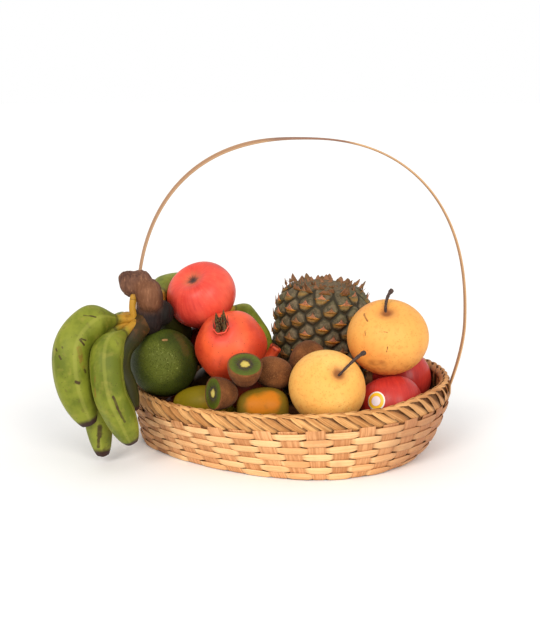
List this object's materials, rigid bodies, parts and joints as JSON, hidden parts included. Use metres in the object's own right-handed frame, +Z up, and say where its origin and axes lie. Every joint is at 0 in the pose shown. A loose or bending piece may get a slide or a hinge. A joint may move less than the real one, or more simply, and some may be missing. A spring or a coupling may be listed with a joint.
{
  "type": "fruit basket",
  "caption": "Oval woven fruit basket with an arched strip handle, heaped with whole and halved fruit and a hand of green bananas over its rim.",
  "frame": {"origin": "on the flat underside of the basket, under the middle of its rim", "axes": "+X along the basket's length and the handle's span, towards the pears; -Y towards the low front of the heap; +Z up"},
  "size_m": [0.4522, 0.2876, 0.3478],
  "materials": {
    "straw": "matte woven split straw, pale tan with darker gaps",
    "cane": "satin split cane, tan",
    "banana_peel": "waxy green peel with brown marks and dry brown cut ends",
    "apple_skin": "waxed red skin, softly streaked",
    "pear_skin": "matte yellow-orange skin with fine specks",
    "pomegranate_skin": "leathery orange-red skin with a low sheen",
    "kiwi_skin": "furry brown skin, wet green flesh on the cut faces",
    "mango_skin": "smooth skin, orange to yellow-green",
    "orange_skin": "pebbled dark green peel",
    "pineapple_skin": "rough dark green-brown eyes with orange-brown edges"
  },
  "bodies": {
    "root": {"apple_back": "apple_skin", "apple_front": "apple_skin", "apple_low_left": "apple_skin", "apple_middle": "apple_skin", "apple_right": "apple_skin", "apple_top": "apple_skin", "banana_hand": "banana_peel", "banana_loose": "banana_peel", "basket": "straw", "border": "straw", "green_orange": "orange_skin", "handle": "cane", "kiwi_back": "kiwi_skin", "kiwi_front": "kiwi_skin", "kiwi_half_lower": "kiwi_skin", "kiwi_half_upper": "kiwi_skin", "kiwi_low_back": "kiwi_skin", "kiwi_low_centre": "kiwi_skin", "kiwi_low_corner": "kiwi_skin", "kiwi_low_end": "kiwi_skin", "kiwi_low_green": "kiwi_skin", "kiwi_low_middle": "kiwi_skin", "kiwi_low_orange": "kiwi_skin", "mango_green": "mango_skin", "mango_low_end": "mango_skin", "mango_low_front": "mango_skin", "mango_low_left": "mango_skin", "mango_low_middle": "mango_skin", "mango_low_right": "mango_skin", "mango_orange": "mango_skin", "pear_back": "pear_skin", "pear_front": "pear_skin", "pear_low_back": "pear_skin", "pineapple": "pineapple_skin", "pomegranate_back": "pomegranate_skin", "pomegranate_front": "pomegranate_skin"}
  },
  "joints": []
}
